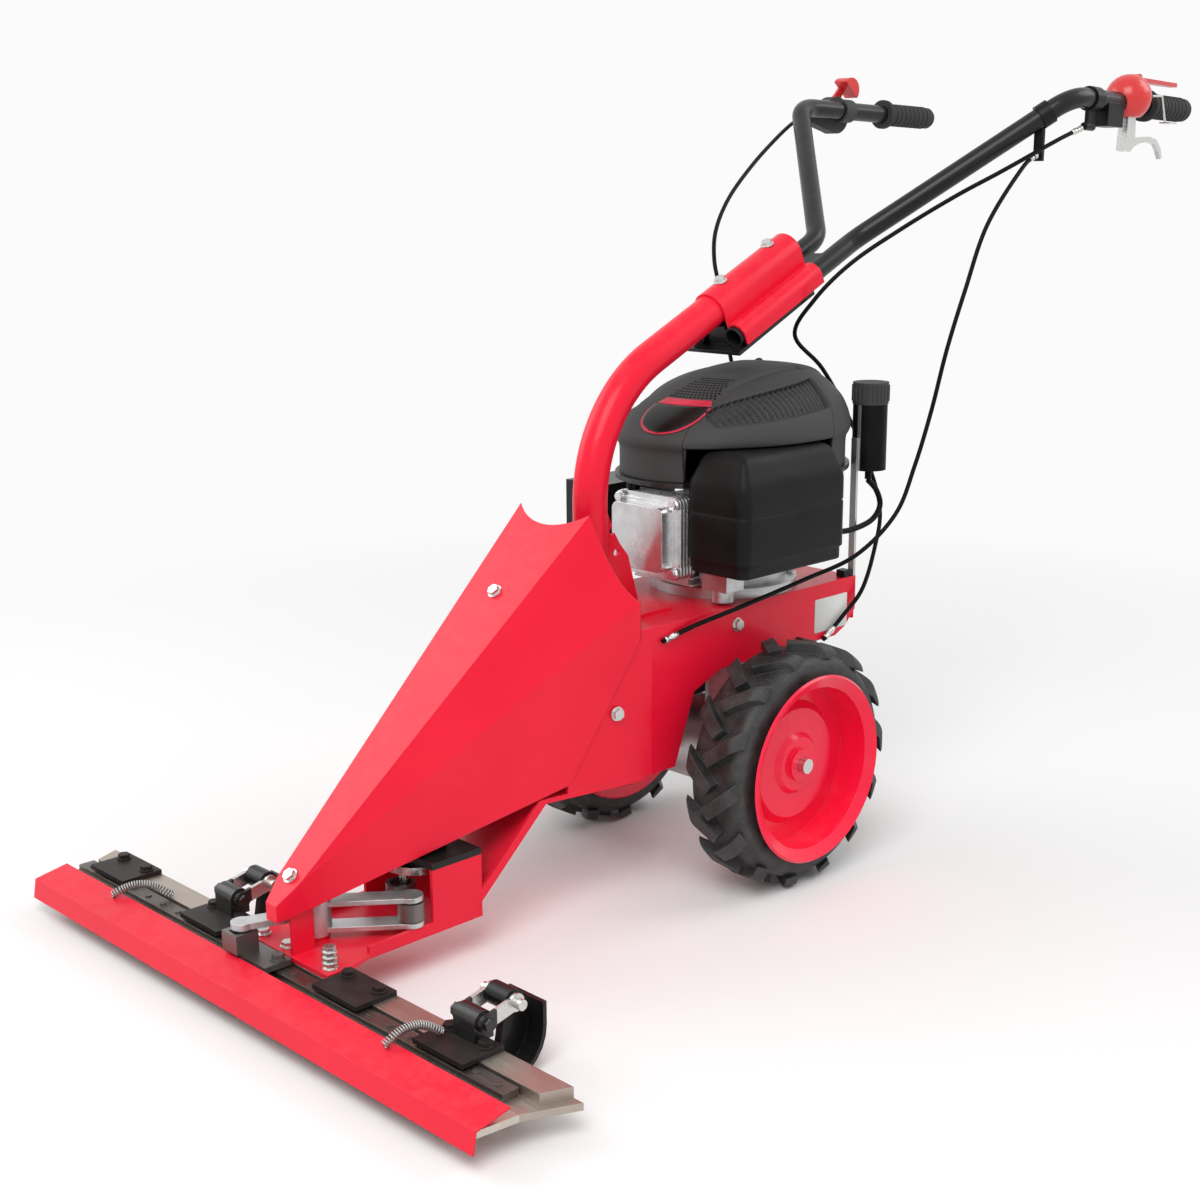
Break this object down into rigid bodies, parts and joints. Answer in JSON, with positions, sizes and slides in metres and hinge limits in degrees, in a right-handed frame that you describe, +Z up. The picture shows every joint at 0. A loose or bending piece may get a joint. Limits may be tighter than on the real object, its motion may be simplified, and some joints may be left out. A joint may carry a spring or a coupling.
{
  "type": "sickle bar mower",
  "caption": "Walk-behind sickle bar mower: engine on a folded red frame with lugged wheels, a rocking lever that strokes the knife over a finger bar, skids and clamped handlebars.",
  "frame": {"origin": "bottom centre of the bounding box, on the ground the tyres and skids stand on", "axes": "+Z up, -Y forward (the cutter bar end), +X to the operator's right-hand side seen from the front, which is the machine's left"},
  "size_m": [0.916, 1.6147, 1.0758],
  "materials": {
    "red_paint": "gloss red powder coat with light dust",
    "red_plastic": "moulded red plastic",
    "black_plastic": "fine-grained black plastic",
    "black_paint": "satin black paint",
    "black_rubber": "matt black rubber",
    "tyre": "black lugged tyre rubber",
    "zinc": "zinc-plated steel",
    "steel": "ground steel with light handling marks",
    "dark_steel": "dark hardened steel",
    "alloy": "as-cast aluminium",
    "spring_steel": "oiled spring steel"
  },
  "bodies": {
    "frame": {"main_frame": "red_paint", "front_base": "red_paint", "front_cover": "red_paint", "column": "red_paint", "clamp_saddle": "red_paint", "clutch_housing": "red_plastic", "engine_cowl": "black_plastic", "air_filter_base": "black_plastic", "air_filter_cover": "black_plastic", "fuel_filler": "black_plastic", "oil_filler": "black_plastic", "starter_guide": "black_plastic", "spark_plug": "black_plastic", "throttle_body": "black_plastic", "cable_fittings": "black_plastic", "clamp_plate": "black_paint", "handlebar_left": "black_paint", "handlebar_right": "black_paint", "handlebar_tie": "black_paint", "muffler": "black_paint", "crank_housing": "black_paint", "hold_downs": "black_paint", "hold_down_bolts": "black_paint", "grips": "black_rubber", "fuel_hose": "black_rubber", "drive_belts": "black_rubber", "control_cables": "black_rubber", "frame_bolts": "zinc", "clamp_bolts": "zinc", "rocker_pivot": "zinc", "lever_bracket": "zinc", "skid_brackets": "zinc", "cutter_bar": "steel", "fingers": "steel", "engine_base": "alloy", "cylinder_head": "alloy", "carburettor": "alloy", "gearbox": "alloy"},
    "fuel_cap": {"fuel_cap": "black_plastic"},
    "oil_cap": {"oil_cap": "black_plastic"},
    "starter_handle": {"starter_handle": "black_plastic"},
    "engine_shaft": {"engine_pulley": "steel"},
    "gearbox_shaft": {"gearbox_pulley": "steel"},
    "axle": {"drive_axle": "steel"},
    "wheel_left": {"rim_left": "red_paint", "tyre_left": "tyre"},
    "wheel_right": {"rim_right": "red_paint", "tyre_right": "tyre"},
    "rocker": {"rocker": "alloy"},
    "con_rod": {"con_rod": "dark_steel"},
    "crank": {"crank": "steel"},
    "knife": {"knife": "dark_steel", "knife_head": "black_paint"},
    "skid_left": {"skid_left": "black_paint"},
    "skid_right": {"skid_right": "black_paint"},
    "guard": {"guard": "red_paint", "guard_springs": "spring_steel"},
    "throttle_lever": {"throttle_lever": "red_plastic"},
    "clutch_lever": {"clutch_lever": "red_plastic"},
    "drive_lever": {"drive_lever": "zinc"}
  },
  "joints": [
    {"name": "wheel_left_spin", "type": "hinge", "parent": "frame", "child": "wheel_left", "pos_m": [0.171, -0.028, 0.164], "axis": [1, 0, 0], "continuous": true},
    {"name": "wheel_right_spin", "type": "hinge", "parent": "frame", "child": "wheel_right", "pos_m": [-0.171, -0.028, 0.164], "axis": [1, 0, 0], "continuous": true},
    {"name": "axle_spin", "type": "hinge", "parent": "frame", "child": "axle", "pos_m": [0, -0.028, 0.164], "axis": [1, 0, 0], "continuous": true},
    {"name": "engine_shaft_spin", "type": "hinge", "parent": "frame", "child": "engine_shaft", "pos_m": [0, 0.032, 0.25], "axis": [0, 0, 1], "continuous": true},
    {"name": "gearbox_shaft_spin", "type": "hinge", "parent": "frame", "child": "gearbox_shaft", "pos_m": [0, -0.088, 0.22], "axis": [0, 0, 1], "continuous": true},
    {"name": "rocker_swing", "type": "hinge", "parent": "frame", "child": "rocker", "pos_m": [-0.015, -0.664, 0.08], "axis": [0, 0, 1], "range_deg": [0, 24]},
    {"name": "con_rod_turn", "type": "hinge", "parent": "rocker", "child": "con_rod", "pos_m": [0.055, -0.576, 0.085], "axis": [0, 0, 1], "range_deg": [-24, 0]},
    {"name": "crank_turn", "type": "hinge", "parent": "frame", "child": "crank", "pos_m": [-0.00781, -0.51512, 0.2], "axis": [0, 0, 1], "range_deg": [-90, 0]},
    {"name": "knife_stroke", "type": "slide", "parent": "frame", "child": "knife", "axis": [1, 0, 0], "range_m": [0, 0.035]},
    {"name": "clutch_lever_pull", "type": "hinge", "parent": "frame", "child": "clutch_lever", "pos_m": [0.23723, 0.65139, 1.05366], "axis": [0.9996, 0.0272, 0], "range_deg": [0, 85]},
    {"name": "drive_lever_pull", "type": "hinge", "parent": "frame", "child": "drive_lever", "pos_m": [0.23749, 0.64192, 0.96273], "axis": [0.9996, 0.0272, 0], "range_deg": [0, 12]},
    {"name": "throttle_turn", "type": "hinge", "parent": "frame", "child": "throttle_lever", "pos_m": [-0.27602, 0.58602, 1.01604], "axis": [0.9996, -0.0272, 0], "range_deg": [0, 50]},
    {"name": "starter_pull", "type": "slide", "parent": "frame", "child": "starter_handle", "axis": [0, 0.6157, 0.788], "range_m": [0, 0.5]},
    {"name": "fuel_cap_turn", "type": "hinge", "parent": "frame", "child": "fuel_cap", "pos_m": [0.106, 0.218, 0.612], "axis": [0, 0, 1], "continuous": true},
    {"name": "oil_cap_turn", "type": "hinge", "parent": "frame", "child": "oil_cap", "pos_m": [-0.117, 0.202, 0.518], "axis": [-0.0565, 0.0904, 0.9943], "continuous": true},
    {"name": "skid_left_tilt", "type": "hinge", "parent": "frame", "child": "skid_left", "pos_m": [0.30045, -0.648, 0.085], "axis": [-1, 0, 0], "range_deg": [0, 12]},
    {"name": "skid_right_tilt", "type": "hinge", "parent": "frame", "child": "skid_right", "pos_m": [-0.15, -0.648, 0.085], "axis": [-1, 0, 0], "range_deg": [0, 12]},
    {"name": "guard_pull", "type": "slide", "parent": "frame", "child": "guard", "axis": [0, -1, 0], "range_m": [0, 0.12]}
  ],
  "couplings": [
    {"joint": "con_rod_turn", "follows": "rocker_swing", "ratio": -1},
    {"joint": "crank_turn", "follows": "rocker_swing", "ratio": -3.75},
    {"joint": "knife_stroke", "follows": "rocker_swing", "m_per_rad": 0.083556},
    {"joint": "gearbox_shaft_spin", "follows": "engine_shaft_spin", "ratio": 1}
  ]
}
